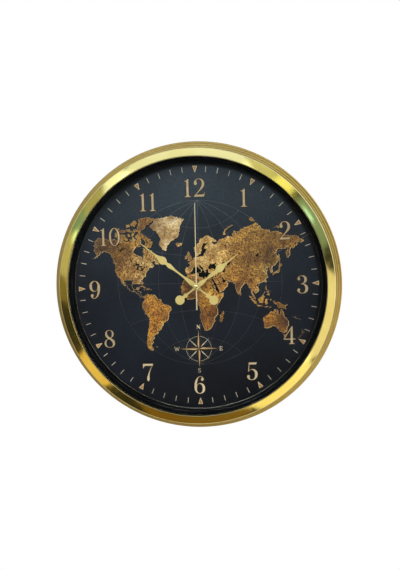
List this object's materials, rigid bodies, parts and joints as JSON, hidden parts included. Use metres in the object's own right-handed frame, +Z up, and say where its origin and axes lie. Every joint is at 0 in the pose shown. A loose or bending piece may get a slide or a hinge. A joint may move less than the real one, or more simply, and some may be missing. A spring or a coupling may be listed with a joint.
{
  "type": "wall clock",
  "caption": "Round battery wall clock: stepped gold metal case, flat glass, dark dial with a gold world map and compass rose, spade hands, and a quartz movement with a coupled gear train.",
  "frame": {"origin": "the point in the wall plane where the nail carries the top of the keyhole slot, above the dial axis", "axes": "+Z up, +Y into the wall (the face looks to -Y), +X to the viewer's right"},
  "size_m": [0.3, 0.046, 0.3],
  "materials": {
    "gold_plate": "polished gold plating",
    "clear_glass": "clear flat glass",
    "black_gloss": "gloss black",
    "dial_navy": "printed matte navy charcoal",
    "black_plastic": "fine moulded texture",
    "grey_plastic": "satin moulding",
    "white_plastic": "natural acetal",
    "pale_gold": "satin pale gold",
    "steel": "plain zinc-plated steel",
    "copper": "enamelled copper wire",
    "board_green": "circuit board",
    "cell_jacket": "plain printed jacket"
  },
  "bodies": {
    "case": {"bezel_case": "gold_plate", "glass_lens": "clear_glass", "inner_ring": "black_gloss", "dial_plate": "dial_navy", "back_cover": "black_plastic", "cover_screw_1": "steel", "cover_screw_2": "steel", "cover_screw_3": "steel", "cover_screw_4": "steel", "cover_screw_5": "steel", "cover_screw_6": "steel", "hanger_plate": "steel", "hanger_screw_1": "steel", "hanger_screw_2": "steel", "movement_case": "grey_plastic", "movement_lid": "grey_plastic", "train_bridge": "white_plastic", "stator_plate": "steel", "coil_core": "steel", "coil_bobbin": "white_plastic", "coil_winding": "copper", "circuit_board": "board_green", "quartz_crystal": "steel", "timing_chip": "black_gloss", "battery_cell": "cell_jacket", "battery_contact_minus": "steel", "battery_contact_plus": "steel"},
    "hour": {"hour_wheel": "white_plastic", "hour_hand": "pale_gold"},
    "minute": {"centre_wheel": "white_plastic", "minute_hand": "pale_gold"},
    "second": {"seconds_wheel": "white_plastic", "second_hand": "pale_gold", "hub_cap": "pale_gold"},
    "third": {"third_wheel": "white_plastic"},
    "fifth": {"fifth_wheel": "white_plastic"},
    "rotor": {"rotor_pinion": "white_plastic", "rotor_magnet": "steel"},
    "motion": {"motion_wheel": "white_plastic", "setting_knob": "white_plastic"}
  },
  "joints": [
    {"name": "hour_turn", "type": "hinge", "parent": "case", "child": "hour", "pos_m": [0, -0.024, -0.1156], "axis": [0, 1, 0], "continuous": true},
    {"name": "minute_turn", "type": "hinge", "parent": "case", "child": "minute", "pos_m": [0, -0.024, -0.1156], "axis": [0, 1, 0], "continuous": true},
    {"name": "second_turn", "type": "hinge", "parent": "case", "child": "second", "pos_m": [0, -0.024, -0.1156], "axis": [0, 1, 0], "continuous": true},
    {"name": "third_turn", "type": "hinge", "parent": "case", "child": "third", "pos_m": [-0.0115, -0.015, -0.11141], "axis": [0, 1, 0], "continuous": true},
    {"name": "fifth_turn", "type": "hinge", "parent": "case", "child": "fifth", "pos_m": [0.00188, -0.011, -0.10496], "axis": [0, 1, 0], "continuous": true},
    {"name": "rotor_turn", "type": "hinge", "parent": "case", "child": "rotor", "pos_m": [0.00042, -0.011, -0.09669], "axis": [0, 1, 0], "continuous": true},
    {"name": "motion_turn", "type": "hinge", "parent": "case", "child": "motion", "pos_m": [0.01344, -0.015, -0.1156], "axis": [0, 1, 0], "continuous": true}
  ],
  "couplings": [
    {"joint": "minute_turn", "follows": "hour_turn", "ratio": 12},
    {"joint": "second_turn", "follows": "hour_turn", "ratio": 720},
    {"joint": "third_turn", "follows": "hour_turn", "ratio": -96},
    {"joint": "fifth_turn", "follows": "hour_turn", "ratio": -3600},
    {"joint": "rotor_turn", "follows": "hour_turn", "ratio": 21600},
    {"joint": "motion_turn", "follows": "hour_turn", "ratio": -4}
  ]
}
